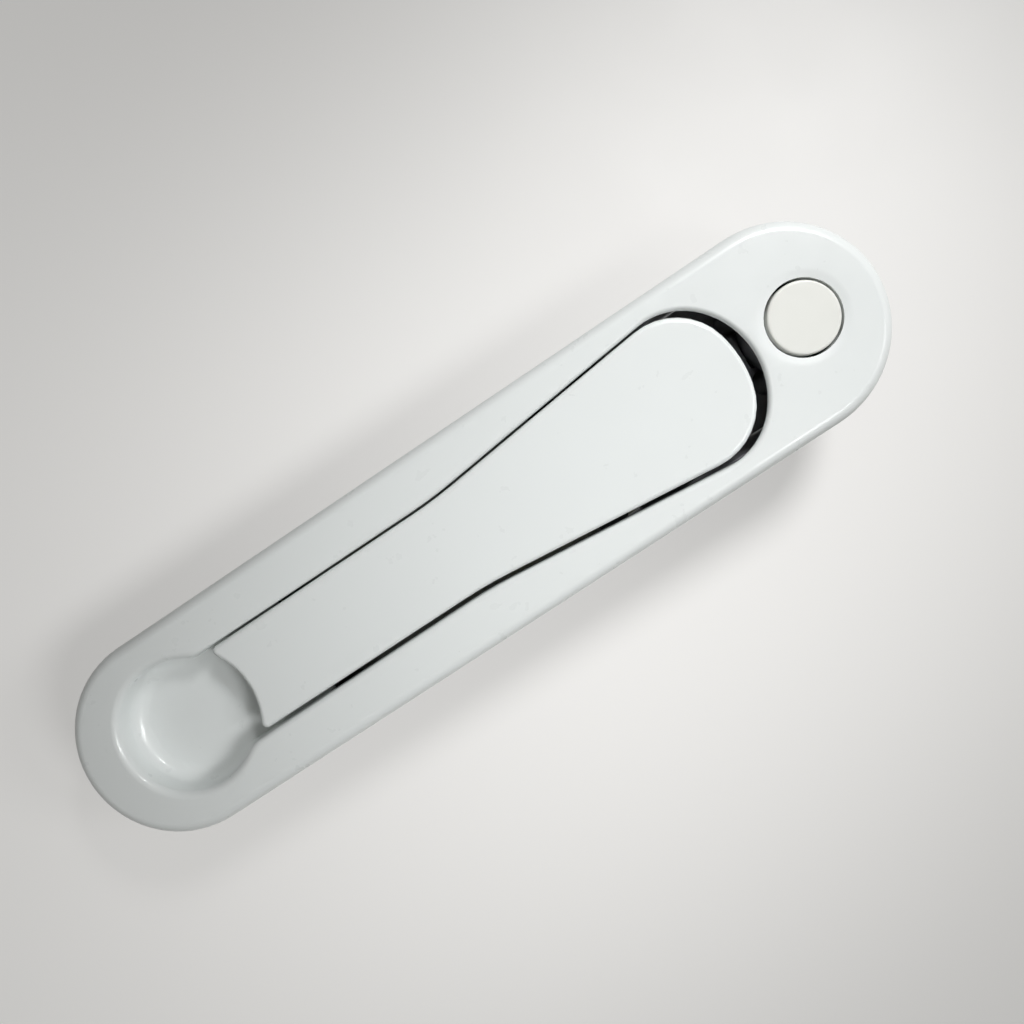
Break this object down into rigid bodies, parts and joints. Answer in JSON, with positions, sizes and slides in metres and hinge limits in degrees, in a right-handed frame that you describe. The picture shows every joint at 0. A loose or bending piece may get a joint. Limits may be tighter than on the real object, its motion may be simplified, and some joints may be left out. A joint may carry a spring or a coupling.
{
  "type": "pop-up handle",
  "caption": "Flush pop-up handle with a long lever in a stadium plate, a finger dish at the lever's narrow end and a push button that frees it.",
  "frame": {"origin": "middle of the back, on the plane that the tub's rim stands on", "axes": "+X along the handle towards the push button, +Y across it, +Z out of the face"},
  "size_m": [0.17, 0.038, 0.025],
  "materials": {
    "casting_paint": "gloss",
    "lever_paint": "gloss",
    "button_plastic": "satin",
    "bright_steel": "ground",
    "spring_steel": "satin",
    "cover_steel": "zinc plated",
    "bush_plastic": "natural",
    "buffer_rubber": "matt"
  },
  "bodies": {
    "frame": {"body_casting": "casting_paint", "pivot_pin": "bright_steel", "pivot_clip_left": "spring_steel", "pivot_clip_right": "spring_steel", "lever_spring": "spring_steel", "back_cover": "cover_steel", "cover_screw_1": "bright_steel", "cover_screw_2": "bright_steel", "cover_screw_3": "bright_steel", "cover_screw_4": "bright_steel", "button_spring": "spring_steel", "catch_leaf": "spring_steel", "catch_screw_left": "bright_steel", "catch_screw_right": "bright_steel", "lever_buffer": "buffer_rubber"},
    "lever": {"lever": "lever_paint", "pivot_bush_left": "bush_plastic", "pivot_bush_right": "bush_plastic"},
    "button": {"push_button": "button_plastic", "button_clip": "spring_steel"}
  },
  "joints": [
    {"name": "lever_pivot", "type": "hinge", "parent": "frame", "child": "lever", "pos_m": [0.042, 0, 0.0155], "axis": [0, 1, 0], "range_deg": [0, 35], "deforming": ["lever_spring", "catch_leaf"]},
    {"name": "button_press", "type": "slide", "parent": "frame", "child": "button", "axis": [0, 0, -1], "range_m": [0, 0.0025], "stiffness_N_per_m": 300, "springref_m": -0.003, "deforming": ["button_spring", "catch_leaf"]}
  ]
}
